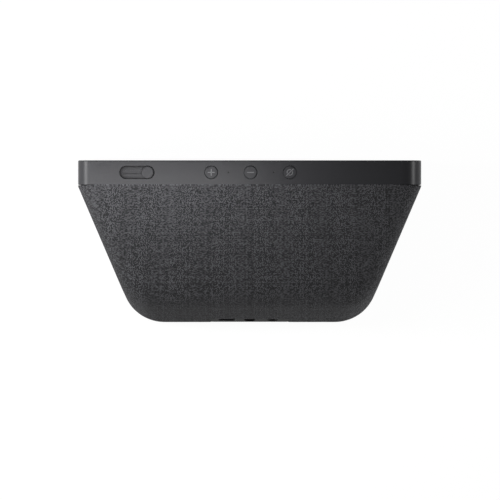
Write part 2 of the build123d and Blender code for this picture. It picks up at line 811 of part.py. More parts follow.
with BuildPart() as speaker_chamber:
    add(chamber_body)
    add(chamber_space, mode=Mode.SUBTRACT)
    add(seats.part)
    with BuildSketch(backward(chamber_front)):
        with Locations(*chamber_screw_places):
            Circle(chamber_screw_r)
    extrude(amount=chamber_boss_length - 1, mode=Mode.SUBTRACT)
    for side in (-1, 1):
        with BuildSketch(side_plane(side, chamber_inset - 1)):
            Circle(driver_opening_r)
        extrude(amount=-chamber_wall - seat_depth - 2, mode=Mode.SUBTRACT)
        with BuildSketch(side_plane(side, seat_inset)):
            with GridLocations(2 * driver_screw_place, 0, 2, 1):
                Circle(1.0)
        extrude(amount=3, mode=Mode.SUBTRACT)
    with BuildSketch(slope_plane(chamber_inset - 1)):
        SlotOverall(radiator_length, radiator_width)
    extrude(amount=-chamber_wall - seat_depth - 2, mode=Mode.SUBTRACT)
write(speaker_chamber.part, "speaker_chamber")

lead_x = 52.0
lead_r = 0.9
with BuildPart() as chamber_cover:
    add(between_depths(chamber_solid, cover_front, cover_back))
    with BuildSketch(backward(cover_front)):
        with Locations(*chamber_screw_places):
            Circle(chamber_screw_r + 0.1)
        with Locations((-lead_x, driver_height), (lead_x, driver_height)):
            Circle(lead_r + small_fit)
    extrude(amount=cover_thickness, mode=Mode.SUBTRACT)
write(chamber_cover.part, "chamber_cover")

with BuildPart() as chamber_gasket:
    add(between_depths(chamber_solid, cover_back, chamber_front))
    add(chamber_space, mode=Mode.SUBTRACT)
write(chamber_gasket.part, "chamber_gasket")

cover_face = Plane(origin=lean.from_local_coords(Vector(0, cover_front, 0)), x_dir=(1, 0, 0),
                   z_dir=lean.y_dir * -1)
write(screws(cover_face, chamber_screw_places, chamber_screw_r - 0.05,
             cover_thickness + chamber_gasket_thickness + 3.5, 2.4, 1.2), "chamber_screws")

# ---- Drivers: local x is the radius and local y runs out along the driver's axis ----

for side, word in ((-1, "left"), (1, "right")):
    mouth = side_plane(side, seat_inset + roll_thickness)
    profile = Plane(origin=mouth.origin, x_dir=mouth.x_dir, z_dir=mouth.y_dir * -1)
    axis = Axis(mouth.origin, mouth.z_dir)

    with BuildPart() as basket:
        with BuildSketch(profile):
            with BuildLine():
                Polyline((cone_rim_r + 2.3, 0), (flange_r, 0), (flange_r, -1.2),
                         (flange_r - 0.5, -1.2), (magnet_r + 1.5, -basket_depth),
                         (coil_r + 1.1, -basket_depth), (coil_r + 1.1, basket_wall - basket_depth),
                         (magnet_r + 0.4, basket_wall - basket_depth),
                         (cone_rim_r + 2.9, -1.2), (cone_rim_r + 2.3, -1.2), close=True)
            make_face()
        revolve(axis=axis)
        with BuildSketch(mouth):
            with GridLocations(2 * driver_screw_place, 0, 2, 1):
                Circle(2.3)
            Circle(flange_r - 1, mode=Mode.SUBTRACT)
        extrude(amount=-1.2)
        with BuildSketch(mouth):
            with GridLocations(2 * driver_screw_place, 0, 2, 1):
                Circle(1.05)
        extrude(amount=-1.2, mode=Mode.SUBTRACT)
        # Windows between the basket's arms
        with BuildSketch(mouth.offset(-4)):
            with PolarLocations(18.2, 4, start_angle=45):
                Rectangle(6, 12)
        extrude(amount=-6, mode=Mode.SUBTRACT)
    write(basket.part, f"{word}_basket")

    with BuildPart() as magnet:
        with BuildSketch(mouth.offset(-basket_depth)):
            Circle(magnet_r)
        extrude(amount=-magnet_depth)
        with BuildSketch(mouth.offset(-basket_depth)):
            Circle(coil_r + coil_thickness + 0.3)
            Circle(coil_r - 0.3, mode=Mode.SUBTRACT)
        extrude(amount=magnet_floor - magnet_depth, mode=Mode.SUBTRACT)
    write(magnet.part, f"{word}_magnet")

    with BuildPart() as surround:
        with BuildSketch(profile):
            with Locations((cone_rim_r + 1.15, roll_thickness / 2)):
                Circle(roll_r)
                Circle(roll_r - roll_thickness, mode=Mode.SUBTRACT)
            with Locations((cone_rim_r + 1.15, 0)):
                Rectangle(6, 6, align=(Align.CENTER, Align.MAX), mode=Mode.SUBTRACT)
            with Locations((cone_rim_r - 1.2, 0)):
                Rectangle(1.4, roll_thickness, align=(Align.MIN, Align.MIN))
            with Locations((flange_r - 0.3, 0)):
                Rectangle(2.5, roll_thickness, align=(Align.MAX, Align.MIN))
        revolve(axis=axis)
    write(surround.part, f"{word}_surround")

    neck_depth = 5.5
    cap_r = coil_r + coil_thickness - 0.2
    cap_height = 2.2
    cap_dome = (cap_r ** 2 + cap_height ** 2) / (2 * cap_height)
    cap_middle = cap_height - cap_dome + sqrt(cap_dome ** 2 - cap_r ** 2 / 4) - neck_depth
    with BuildPart() as cone:
        with BuildSketch(profile):
            with BuildLine():
                Polyline((0, -neck_depth - cone_thickness), (coil_r + coil_thickness, -neck_depth - cone_thickness),
                         (cone_rim_r - 1.6, -cone_thickness), (cone_rim_r, -cone_thickness), (cone_rim_r, 0),
                         (cone_rim_r - 1.8, 0), (cap_r, -neck_depth))
                ThreePointArc((cap_r, -neck_depth), (cap_r / 2, cap_middle), (0, cap_height - neck_depth))
                Line((0, cap_height - neck_depth), (0, -neck_depth - cone_thickness))
            make_face()
        revolve(axis=axis)
    write(cone.part, f"{word}_cone")

    with BuildPart() as voice_coil:
        with BuildSketch(mouth.offset(-neck_depth - cone_thickness)):
            Circle(coil_r + coil_thickness)
            Circle(coil_r, mode=Mode.SUBTRACT)
        extrude(amount=neck_depth + cone_thickness - coil_reach)
    write(voice_coil.part, f"{word}_voice_coil")

with BuildPart() as driver_screws:
    for side in (-1, 1):
        seat = side_plane(side, seat_inset + roll_thickness + 1.2)
        with BuildSketch(seat):
            with GridLocations(2 * driver_screw_place, 0, 2, 1):
                Circle(0.95)
        extrude(amount=1.2 + roll_thickness + 2.2)
        with BuildSketch(seat):
            with GridLocations(2 * driver_screw_place, 0, 2, 1):
                Circle(1.9)
        extrude(amount=-1.1)
write(driver_screws.part, "driver_screws")

magnet_inset = seat_inset + roll_thickness + basket_depth + magnet_depth
with BuildPart() as speaker_leads:
    with BuildSketch(backward(board_back)):
        with Locations((-lead_x, driver_height), (lead_x, driver_height)):
            Circle(lead_r)
    extrude(amount=36)
    for side in (-1, 1):
        split(bisect_by=side_plane(side, magnet_inset), keep=Keep.BOTTOM)
write(speaker_leads.part, "speaker_leads")

# ---- Passive radiator ----

radiator_mouth = slope_plane(seat_inset + roll_thickness)
frame_opening = 3.0
with BuildPart() as radiator_frame:
    with BuildSketch(radiator_mouth):
        SlotOverall(radiator_length + 2 * radiator_land - 1, radiator_width + 2 * radiator_land - 1)
        SlotOverall(radiator_plate_length + 2 * frame_opening, radiator_plate_width + 2 * frame_opening,
                    mode=Mode.SUBTRACT)
    extrude(amount=-1.5)
write(radiator_frame.part, "radiator_frame")

roll_outer = 2 * frame_opening - 0.8
roll_inner = -0.2
with BuildPart() as radiator_surround:
    with BuildSketch(radiator_mouth):
        SlotOverall(radiator_length + 2 * radiator_land - 1, radiator_width + 2 * radiator_land - 1)
        SlotOverall(radiator_plate_length - 2, radiator_plate_width - 2, mode=Mode.SUBTRACT)
    extrude(amount=roll_thickness)
    with BuildSketch(radiator_mouth):
        SlotOverall(radiator_plate_length + roll_outer, radiator_plate_width + roll_outer)
        SlotOverall(radiator_plate_length + roll_inner, radiator_plate_width + roll_inner,
                    mode=Mode.SUBTRACT)
    extrude(amount=radiator_roll_height)
    fillet(radiator_surround.faces().sort_by(Axis(radiator_mouth.origin, radiator_mouth.z_dir))[-1].edges(), 1.1)
    with BuildSketch(radiator_mouth):
        SlotOverall(radiator_plate_length + roll_outer - 1, radiator_plate_width + roll_outer - 1)
        SlotOverall(radiator_plate_length + roll_inner + 1, radiator_plate_width + roll_inner + 1,
                    mode=Mode.SUBTRACT)
    extrude(amount=radiator_roll_height - 0.9, mode=Mode.SUBTRACT)
write(radiator_surround.part, "radiator_surround")

with BuildPart() as radiator_cone:
    with BuildSketch(radiator_mouth):
        SlotOverall(radiator_plate_length - 0.4, radiator_plate_width - 0.4)
    extrude(amount=-1.0)
    with BuildSketch(radiator_mouth.offset(-1.0)):
        SlotOverall(radiator_plate_length - 20, radiator_plate_width - 9)
    extrude(amount=-3.0)
write(radiator_cone.part, "radiator_cone")

# ---- Ports ----

panel_back = rear_plane.offset(-port_recess - port_thickness)
with BuildPart() as port_panel:
    with BuildSketch(panel_back):
        with Locations((0, port_z)):
            RectangleRounded(port_width, port_panel_height, 1.9)
            Circle(jack_bore_r + 0.3, mode=Mode.SUBTRACT)
        with Locations((-port_pitch, port_z)):
            SlotOverall(9.8, 4.0, mode=Mode.SUBTRACT)
        with Locations((port_pitch, port_z)):
            Circle(audio_nozzle_r + small_fit, mode=Mode.SUBTRACT)
    extrude(amount=port_thickness)
write(port_panel.part, "port_panel")

with BuildPart() as port_board:
    with BuildSketch(Plane.XY.offset(port_board_top)):
        with Locations((0, port_board_mid)):
            Rectangle(port_board_width, port_board_depth)
    extrude(amount=-port_board_thickness)
write(port_board.part, "port_board")

jack_height = 9.6
with BuildPart() as power_jack:
    with BuildSketch(panel_back):
        with Locations((0, port_board_top)):
            Rectangle(9, jack_height, align=(Align.CENTER, Align.MIN))
    extrude(amount=-13)
    with BuildSketch(panel_back):
        with Locations((0, port_z)):
            Circle(jack_bore_r)
            Circle(jack_pin_r, mode=Mode.SUBTRACT)
    extrude(amount=-9.5, mode=Mode.SUBTRACT)
write(power_jack.part, "power_jack")

with BuildPart() as usb_port:
    with BuildSketch(panel_back):
        with Locations((-port_pitch, port_board_top)):
            Rectangle(9.8, 7.4, align=(Align.CENTER, Align.MIN))
    extrude(amount=-9)
    with BuildSketch(panel_back):
        with Locations((-port_pitch, port_z)):
            SlotOverall(8.4, 2.6)
            Rectangle(6.6, 0.7, mode=Mode.SUBTRACT)
    extrude(amount=-6.5, mode=Mode.SUBTRACT)
write(usb_port.part, "usb_port")

with BuildPart() as audio_jack:
    with BuildSketch(panel_back):
        with Locations((port_pitch, port_board_top)):
            Rectangle(7, 8, align=(Align.CENTER, Align.MIN))
    extrude(amount=-13)
    with BuildSketch(panel_back):
        with Locations((port_pitch, port_z)):
            Circle(audio_nozzle_r)
    extrude(amount=port_thickness - 0.4)
    with BuildSketch(panel_back.offset(port_thickness)):
        with Locations((port_pitch, port_z)):
            Circle(audio_bore_r)
    extrude(amount=-13, mode=Mode.SUBTRACT)
write(audio_jack.part, "audio_jack")

cable_thickness = 0.6
cable_z = port_board_top + cable_thickness / 2
cable_run = 15.0
corner_y = (cable_run + (cable_z - front_lift) * sin(tilt)) / cos(tilt)
write(ribbon(0, 14, cable_thickness, 1.5, panel_point(port_board_mid - front_y - port_board_depth / 2 + 4, cable_z),
             panel_point(corner_y, cable_z), (cable_run, 43), (board_back, 43)), "port_cable")

# ---- Base ----

foot_top = base_underside + foot_set
plate_top = base_height + housing_inset
with BuildPart() as base_plate:
    with BuildSketch(Plane.XY.offset(base_underside)):
        add(base_outline(base_margin, base_corner))
    extrude(amount=base_height - base_underside)
    with BuildSketch(Plane.XY.offset(base_underside)):
        add(base_outline(base_margin + hem, base_corner))
    extrude(amount=plate_top - base_underside)
    with BuildSketch(Plane.XY.offset(base_underside)):
        add(base_outline(base_margin + foot_margin - small_fit, base_corner))
    extrude(amount=foot_set, mode=Mode.SUBTRACT)
    with BuildSketch(Plane.XY):
        with Locations(*post_places):
            Circle(base_screw_r + 0.1)
    extrude(amount=plate_top, mode=Mode.SUBTRACT)
write(base_plate.part, "base_plate")

with BuildPart() as base_foot:
    with BuildSketch(Plane.XY):
        add(base_outline(base_margin + foot_margin, base_corner))
    extrude(amount=foot_top)
    with BuildSketch(Plane.XY):
        with Locations(*post_places):
            Circle(base_screw_head_r + 0.6)
    extrude(amount=foot_top, mode=Mode.SUBTRACT)
    chamfer(base_foot.faces().sort_by(Axis.Z)[0].edges(), 0.3)
write(base_foot.part, "base_foot")

base_face = Plane(origin=(0, 0, foot_top), x_dir=(1, 0, 0), z_dir=(0, 0, -1))
write(screws(base_face, [(x, -y) for x, y in post_places], base_screw_r, 9, base_screw_head_r, 1.0),
      "base_screws")
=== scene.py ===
"""A smart display speaker seen from above its leaning screen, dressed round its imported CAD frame.

Lengths are in metres unless a name says otherwise, in the CAD model's own frame: +Z up, the screen
faces -Y and +X is to the right when looking at the screen. MM turns millimetres into metres.
"""

import json
import logging
import math
from dataclasses import dataclass, field
from enum import Enum
from typing import Optional

import bmesh
import bpy
import numpy as np
from mathutils import Matrix, Vector
from mathutils.bvhtree import BVHTree

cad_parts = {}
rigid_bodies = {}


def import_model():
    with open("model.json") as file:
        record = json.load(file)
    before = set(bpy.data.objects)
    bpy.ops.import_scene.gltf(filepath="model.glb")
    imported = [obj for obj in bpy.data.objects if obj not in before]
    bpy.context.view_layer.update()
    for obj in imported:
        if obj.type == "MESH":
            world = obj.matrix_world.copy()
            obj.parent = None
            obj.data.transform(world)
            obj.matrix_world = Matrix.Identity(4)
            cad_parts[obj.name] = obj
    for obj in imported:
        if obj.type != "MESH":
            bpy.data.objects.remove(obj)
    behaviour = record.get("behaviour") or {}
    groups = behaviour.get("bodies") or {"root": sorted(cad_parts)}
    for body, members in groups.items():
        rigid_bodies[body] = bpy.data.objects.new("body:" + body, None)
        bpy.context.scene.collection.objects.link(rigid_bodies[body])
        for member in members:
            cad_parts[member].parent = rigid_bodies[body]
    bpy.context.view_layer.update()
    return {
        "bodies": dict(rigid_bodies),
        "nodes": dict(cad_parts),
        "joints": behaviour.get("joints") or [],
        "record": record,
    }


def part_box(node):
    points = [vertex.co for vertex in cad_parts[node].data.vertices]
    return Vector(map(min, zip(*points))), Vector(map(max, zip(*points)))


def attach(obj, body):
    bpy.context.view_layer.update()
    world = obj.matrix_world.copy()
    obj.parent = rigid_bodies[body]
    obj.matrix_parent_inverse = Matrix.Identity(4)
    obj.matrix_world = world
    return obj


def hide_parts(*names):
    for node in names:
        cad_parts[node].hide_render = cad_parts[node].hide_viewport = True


MM = 0.001
LOG = logging.getLogger("smart_display")


def srgb(code: str) -> tuple[float, float, float, float]:
    """Turn an sRGB hex colour into the linear colour that shaders take.

    Args:
        code: Six hex digits after a hash.

    Returns:
        Linear red, green, blue and an alpha of one.
    """
    values = [int(code[k : k + 2], 16) / 255 for k in (1, 3, 5)]
    linear = [v / 12.92 if v <= 0.04045 else ((v + 0.055) / 1.055) ** 2.4 for v in values]
    return (linear[0], linear[1], linear[2], 1.0)


def add_node(
    tree: bpy.types.NodeTree,
    kind: str,
    settings: Optional[dict] = None,
    inputs: Optional[dict] = None,
) -> bpy.types.Node:
    """Add one shader node with its settings, values and links.

    Args:
        tree: The node tree to add to.
        kind: The node's type name.
        settings: Properties of the node itself.
        inputs: Socket name or number to a value, or to an output socket to link from.

    Returns:
        The new node.
    """
    node = tree.nodes.new(kind)
    for name, value in (settings or {}).items():
        setattr(node, name, value)
    for name, value in (inputs or {}).items():
        if isinstance(value, bpy.types.NodeSocket):
            tree.links.new(value, node.inputs[name])
        else:
            node.inputs[name].default_value = value
    return node


@dataclass(frozen=True)
class Panel:
    """The leaning panel's own frame: x across, depth behind its front face, height up its lean."""

    origin: Vector
    back: Vector
    up: Vector

    @classmethod
    def of_frame(cls, frame: dict) -> "Panel":
        """Read the lean from a button's axis and the corner from the screen frame's own solid.


        Returns:
            The panel's frame.
        """
        press = next(j for j in frame["joints"] if j["name"] == "mute_press")
        up = -Vector(press["axis"]).normalized()
        back = up.cross(Vector((1, 0, 0))).normalized()
        points = [v.co for v in frame["nodes"]["front_frame"].data.vertices]
        depth = min(p.dot(back) for p in points)
        height = min(p.dot(up) for p in points)
        return cls(back * depth + up * height, back, up)

    def at(self, x: float, depth: float, height: float) -> Vector:
        """Give the place in the model's frame of a place in the panel's frame."""
        return self.origin + Vector((x, 0, 0)) + self.back * depth + self.up * height

    def local(self, place: Vector) -> Vector:
        """Give x, depth and height of a place in the model's frame."""
        away = place - self.origin
        return Vector((away.x, away.dot(self.back), away.dot(self.up)))

    def matrix(self, x: float, depth: float, height: float) -> Matrix:
        """Give the transform that puts x, depth and height axes at a place on the panel."""
        turn = Matrix((Vector((1, 0, 0)), self.back, self.up)).transposed()
        return Matrix.Translation(self.at(x, depth, height)) @ turn.to_4x4()

    def reach(self, node: bpy.types.Object) -> tuple[Vector, Vector]:
        """Give a CAD node's lowest and highest x, depth and height."""
        points = np.array([self.local(v.co) for v in node.data.vertices])
        return Vector(points.min(0)), Vector(points.max(0))


def make_piece(name: str, mesh: bmesh.types.BMesh, material: bpy.types.Material) -> bpy.types.Object:
    """Turn a finished bmesh into an object at the origin, with its material.

    Args:
        name: The piece's name.
        mesh: The bmesh, which is freed.
        material: What the piece is made of.

    Returns:
        The new object.
    """
    data = bpy.data.meshes.new(name)
    mesh.to_mesh(data)
    mesh.free()
    data.materials.append(material)
    piece = bpy.data.objects.new(name, data)
    bpy.context.scene.collection.objects.link(piece)
    return piece


def settle(piece: bpy.types.Object) -> None:
    """Apply a piece's modifiers to its mesh and take them off."""
    graph = bpy.context.evaluated_depsgraph_get()
    finished = bpy.data.meshes.new_from_object(piece.evaluated_get(graph))
    piece.modifiers.clear()
    piece.data = finished


# ---- Finishes ----


def new_finish(name: str) -> tuple[bpy.types.Material, bpy.types.NodeTree, bpy.types.Node]:
    """Make a material with nothing but its shader.

    Args:
        name: The material's name.

    Returns:
        The material, its node tree and its shader.
    """
    material = bpy.data.materials.new(name)
    material.use_nodes = True
    return material, material.node_tree, material.node_tree.nodes["Principled BSDF"]


def object_place(tree: bpy.types.NodeTree) -> bpy.types.NodeSocket:
    """Give the place on the piece, in metres."""
    return add_node(tree, "ShaderNodeTexCoord").outputs["Object"]


def drawn_place(tree: bpy.types.NodeTree, **inputs: tuple) -> bpy.types.NodeSocket:
    """Give the place on the piece, turned and drawn out so that a texture runs in streaks."""
    drawn = add_node(tree, "ShaderNodeMapping", None, {"Vector": object_place(tree), **inputs})
    return drawn.outputs["Vector"]


def add_noise(
    tree: bpy.types.NodeTree, place: bpy.types.NodeSocket, scale: float, detail: float
) -> bpy.types.NodeSocket:
    """Add noise over a place and give its value."""
    inputs = {"Vector": place, "Scale": scale, "Detail": detail}
    return add_node(tree, "ShaderNodeTexNoise", None, inputs).outputs["Fac"]


def add_range(
    tree: bpy.types.NodeTree,
    value: bpy.types.NodeSocket,
    start: tuple[float, float] = (0.0, 1.0),
    end: tuple[float, float] = (0.0, 1.0),
    kind: str = "LINEAR",
) -> bpy.types.NodeSocket:
    """Carry a value from one range to another.

    Args:
        tree: The node tree to add to.
        value: What to carry over.
        start: The ends of the range it comes from.
        end: The ends of the range it goes to.
        kind: How it runs between them.

    Returns:
        The carried value.
    """
    inputs = {
        "Value": value,
        "From Min": start[0],
        "From Max": start[1],
        "To Min": end[0],
        "To Max": end[1],
    }
    return add_node(tree, "ShaderNodeMapRange", {"interpolation_type": kind}, inputs).outputs["Result"]


def add_blend(tree: bpy.types.NodeTree, share: bpy.types.NodeSocket, low, high) -> bpy.types.NodeSocket:
    """Mix two colours by a share and give the result."""
    return add_node(tree, "ShaderNodeMix", {"data_type": "RGBA"}, {0: share, 6: low, 7: high}).outputs[2]


def add_math(tree: bpy.types.NodeTree, operation: str, *values) -> bpy.types.NodeSocket:
    """Add one sum over sockets or numbers and give its result."""
    return add_node(tree, "ShaderNodeMath", {"operation": operation}, dict(enumerate(values))).outputs[0]


def add_bump(
    tree: bpy.types.NodeTree, height: bpy.types.NodeSocket, depth_mm: float, strength: float
) -> None:
    """Raise the shader's surface by a height.

    Args:
        tree: The node tree to add to.
        height: The relief, from 0 to 1.
        depth_mm: How deep the relief is.
        strength: How much of it shows.
    """
    inputs = {"Height": height, "Distance": depth_mm * MM, "Strength": strength}
    bump = add_node(tree, "ShaderNodeBump", None, inputs)
    tree.links.new(bump.outputs["Normal"], tree.nodes["Principled BSDF"].inputs["Normal"])


@dataclass(frozen=True)
class MouldedPlastic:
    """Injection-moulded ABS with a spark-eroded texture: a matt skin that breaks up every highlight."""

    name: str
    colour: str
    roughness: float = 0.5
    unevenness: float = 0.05
    grain_mm: float = 0.35
    grain_detail: float = 3.0
    depth_mm: float = 0.012
    relief: float = 0.6
    blotch: float = 0.06
    blotch_scale: float = 60.0
    blotch_detail: float = 2.0
    # Painted shade: how far and with how many samples the occlusion looks, the occlusion range it maps,
    # the darkest share kept and the near-black colour that the shade darkens towards.
    reach_mm: float = 3.0
    reach_samples: int = 8
    shelter: tuple[float, float] = (0.45, 0.97)
    deepest_painted_shade: float = 0.1
    painted_shade_colour: str = "#050505"
    gloss: float = 0.09
    refraction: float = 1.5

    def build(self) -> bpy.types.Material:
        """Build the plastic: fine grain, a faint cloudiness, and painted shade that darkens the colour
        and dims the gloss down in recesses and gaps.
        """
        material, tree, shader = new_finish(self.name)
        shader.inputs["IOR"].default_value = self.refraction
        place = object_place(tree)
        grain = add_noise(tree, place, 1 / (self.grain_mm * MM), self.grain_detail)
        cloud = add_noise(tree, place, self.blotch_scale, self.blotch_detail)
        base = srgb(self.colour)
        shares = (1 - self.blotch, 1 + self.blotch)
        low, high = (tuple(c * share for c in base[:3]) + (1.0,) for share in shares)
        tint = add_blend(tree, cloud, low, high)
        # Painted shade: ambient occlusion darkens the colour towards a near-black in recesses, gaps and
        # under edges, and dims the gloss there too.
        hidden = add_node(
            tree,
            "ShaderNodeAmbientOcclusion",
            {"samples": self.reach_samples, "only_local": True},
            {"Distance": self.reach_mm * MM},
        )
        unshaded_share = add_range(tree, hidden.outputs["AO"], self.shelter, (self.deepest_painted_shade, 1.0))
        painted_shade_tint = add_blend(tree, unshaded_share, srgb(self.painted_shade_colour), tint)
        gloss = add_math(tree, "MULTIPLY", unshaded_share, self.gloss)
        ends = (self.roughness - self.unevenness, self.roughness + self.unevenness)
        rough = add_range(tree, grain, end=ends)
        add_bump(tree, grain, self.depth_mm, self.relief)
        tree.links.new(painted_shade_tint, shader.inputs["Base Color"])
        tree.links.new(gloss, shader.inputs["Specular IOR Level"])
        tree.links.new(rough, shader.inputs["Roughness"])
        return material


@dataclass(frozen=True)
class SheetMetal:
    """Rolled or plated metal: long, faint marks along X that stretch its highlights."""

    name: str
    colour: str
    roughness: float = 0.35
    mark_mm: float = 0.4
    mark_detail: float = 4.0
    drawn_out: float = 0.05
    unevenness: float = 0.1
    depth_mm: float = 0.005
    relief: float = 0.5

    def build(self) -> bpy.types.Material:
        """Build the metal: noise drawn out along X drives its roughness and a slight bump."""
        material, tree, shader = new_finish(self.name)
        shader.inputs["Base Color"].default_value = srgb(self.colour)
        shader.inputs["Metallic"].default_value = 1.0
        place = drawn_place(tree, Scale=(self.drawn_out, 1.0, 1.0))
        marks = add_noise(tree, place, 1 / (self.mark_mm * MM), self.mark_detail)
        ends = (self.roughness - self.unevenness, self.roughness + self.unevenness)
        rough = add_range(tree, marks, end=ends)
        add_bump(tree, marks, self.depth_mm, self.relief)
        tree.links.new(rough, shader.inputs["Roughness"])
        return material


@dataclass(frozen=True)
class Rubber:
    """Moulded silicone or nitrile rubber: soft, dark and slightly dusty."""

    name: str
    colour: str
    roughness: float = 0.75
    dust: str = "#3a3a3b"
    dust_mm: float = 1.5
    dust_detail: float = 6.0
    dust_range: tuple[float, float] = (0.45, 0.8)
    most_dust: float = 0.35
    depth_mm: float = 0.02
    relief: float = 0.5
    refraction: float = 1.52

    def build(self) -> bpy.types.Material:
        """Build the rubber: fine noise mixes a little dust into a matt dark body."""
        material, tree, shader = new_finish(self.name)
        shader.inputs["Roughness"].default_value = self.roughness
        shader.inputs["IOR"].default_value = self.refraction
        dust = add_noise(tree, object_place(tree), 1 / (self.dust_mm * MM), self.dust_detail)
        share = add_range(tree, dust, self.dust_range, (0.0, self.most_dust))
        add_bump(tree, dust, self.depth_mm, self.relief)
        tint = add_blend(tree, share, srgb(self.colour), srgb(self.dust))
        tree.links.new(tint, shader.inputs["Base Color"])
        return material


@dataclass(frozen=True)
class BlackGlass:
    """Chemically hardened cover glass, printed black behind: a deep, mirror-smooth black."""

    name: str
    colour: str
    roughness: float = 0.06
    smear: float = 0.05
    smear_range: tuple[float, float] = (0.4, 0.8)
    wipe_turn: float = 0.5
    wipe_drawn_out: float = 0.25
    wipe_scale: float = 45.0
    wipe_detail: float = 5.0
    refraction: float = 1.51

    def build(self) -> bpy.types.Material:
        """Build the glass: a smooth dark body, with faint wiping marks in its gloss."""
        material, tree, shader = new_finish(self.name)
        shader.inputs["Base Color"].default_value = srgb(self.colour)
        shader.inputs["IOR"].default_value = self.refraction
        place = drawn_place(tree, Rotation=(0, self.wipe_turn, 0), Scale=(self.wipe_drawn_out, 1, 1))
        wipes = add_noise(tree, place, self.wipe_scale, self.wipe_detail)
        ends = (self.roughness, self.roughness + self.smear)
        rough = add_range(tree, wipes, self.smear_range, ends)
        tree.links.new(rough, shader.inputs["Roughness"])
        return material


@dataclass(frozen=True)
class CircuitBoard:
    """Glass-fibre laminate under green solder mask: glossy, with copper tracks that show through."""

    name: str
    mask: str = "#0c3a1e"
    track: str = "#1b5a30"
    pitch_mm: float = 1.6
    track_share: float = 0.12
    roughness: float = 0.3
    depth_mm: float = 0.03
    relief: float = 0.7

    def build(self) -> bpy.types.Material:
        """Build the board: a cell pattern stands for tracks under the mask."""
        material, tree, shader = new_finish(self.name)
        shader.inputs["Roughness"].default_value = self.roughness
        cells = add_node(
            tree,
            "ShaderNodeTexVoronoi",
            {"feature": "DISTANCE_TO_EDGE", "distance": "EUCLIDEAN"},
            {"Vector": object_place(tree), "Scale": 1 / (self.pitch_mm * MM)},
        )
        lines = add_range(tree, cells.outputs["Distance"], (0.0, self.track_share), (1.0, 0.0))
        add_bump(tree, lines, self.depth_mm, self.relief)
        tint = add_blend(tree, lines, srgb(self.mask), srgb(self.track))
        tree.links.new(tint, shader.inputs["Base Color"])
        return material


@dataclass(frozen=True)
class AcousticCloth:
    """Plain-woven polyester stretched over the speakers: charcoal yarns, some paler, on a dark ground.

    The weave runs on the piece's own UV map, which is in metres. The real threads are about 0.4 mm
    apart; they are drawn at thread_mm so that they show.
    """

    name: str
    yarn: str
    pale_yarn: str
    gap: str
    thread_mm: float = 0.6
    depth_mm: float = 0.2
    relief: float = 0.6
    pale_relief: float = 0.3
    pale_range: tuple[float, float] = (0.35, 1.25)
    yarn_share: float = 0.22
    roughness: float = 0.8
    refraction: float = 1.4
    gloss: float = 0.25
    fuzz: float = 0.015
    fuzz_roughness: float = 0.35
    fuzz_tint: str = "#a0a0a4"

    def build(self) -> bpy.types.Material:
        """Build the cloth: crossing threads, a shade for every crossing and yarn, fuzz as sheen."""
        material, tree, shader = new_finish(self.name)
        for name, value in (
            ("Roughness", self.roughness),
            ("IOR", self.refraction),
            ("Specular IOR Level", self.gloss),
            ("Sheen Weight", self.fuzz),
            ("Sheen Roughness", self.fuzz_roughness),
            ("Sheen Tint", srgb(self.fuzz_tint)),
        ):
            shader.inputs[name].default_value = value
        count = 1 / (self.thread_mm * MM)
        weave = add_node(tree, "ShaderNodeUVMap", {"uv_map": "weave"}).outputs["UV"]
        threads = self.add_vector_math(tree, "MULTIPLY", weave, (count, count, 0))
        cell = self.add_vector_math(tree, "FLOOR", threads)
        axes = add_node(tree, "ShaderNodeSeparateXYZ", None, {0: threads})
        numbers = add_node(tree, "ShaderNodeSeparateXYZ", None, {0: cell})
        crossing = self.add_shade(tree, "2D", "Vector", cell)
        warp = self.add_shade(tree, "1D", "W", numbers.outputs["X"])
        weft = self.add_shade(tree, "1D", "W", numbers.outputs["Y"])
        waves = []
        for axis in ("X", "Y"):
            turn = add_math(tree, "MULTIPLY", axes.outputs[axis], math.pi)
            waves.append(add_math(tree, "ABSOLUTE", add_math(tree, "SINE", turn)))
        height = add_math(tree, "MULTIPLY", *waves)
        yarn_shade = add_math(tree, "ADD", warp, weft)
        shade = add_math(tree, "MULTIPLY_ADD", yarn_shade, self.yarn_share, crossing)
        pale = add_range(tree, shade, self.pale_range, kind="SMOOTHSTEP")
        yarns = add_blend(tree, pale, srgb(self.yarn), srgb(self.pale_yarn))
        ground = add_blend(tree, height, srgb(self.gap), yarns)
        relief = add_math(tree, "MULTIPLY_ADD", pale, self.pale_relief, height)
        add_bump(tree, relief, self.depth_mm, self.relief)
        tree.links.new(ground, shader.inputs["Base Color"])
        return material

    def add_vector_math(self, tree: bpy.types.NodeTree, operation: str, *values) -> bpy.types.NodeSocket:
        """Add one sum over vectors and give its result."""
        node = add_node(tree, "ShaderNodeVectorMath", {"operation": operation}, dict(enumerate(values)))
        return node.outputs["Vector"]

    def add_shade(
        self, tree: bpy.types.NodeTree, dimensions: str, socket: str, number: bpy.types.NodeSocket
    ) -> bpy.types.NodeSocket:
        """Give every thread or crossing a shade of its own, by its number."""
        settings = {"noise_dimensions": dimensions}
        return add_node(tree, "ShaderNodeTexWhiteNoise", settings, {socket: number}).outputs["Value"]


# ---- Sub-assemblies ----


@dataclass
class CadDressing:
    """Gives every carried-over CAD node the finish of its material slot, or a finish of its own."""

    finishes: dict[str, bpy.types.Material]
    own: dict[str, bpy.types.Material]

    def dress(self, frame: dict) -> None:
        """Put each node's finish in its object's material slots.
        """
        slots = {s["node"]: s["material_slot"] for s in frame["record"]["subparts"]}
        for name, node in frame["nodes"].items():
            material = self.own.get(name, self.finishes[slots[name]])
            if not node.material_slots:
                node.data.materials.append(material)
            for place in node.material_slots:
                place.material = material
            LOG.info("dressed %s in %s", name, material.name)


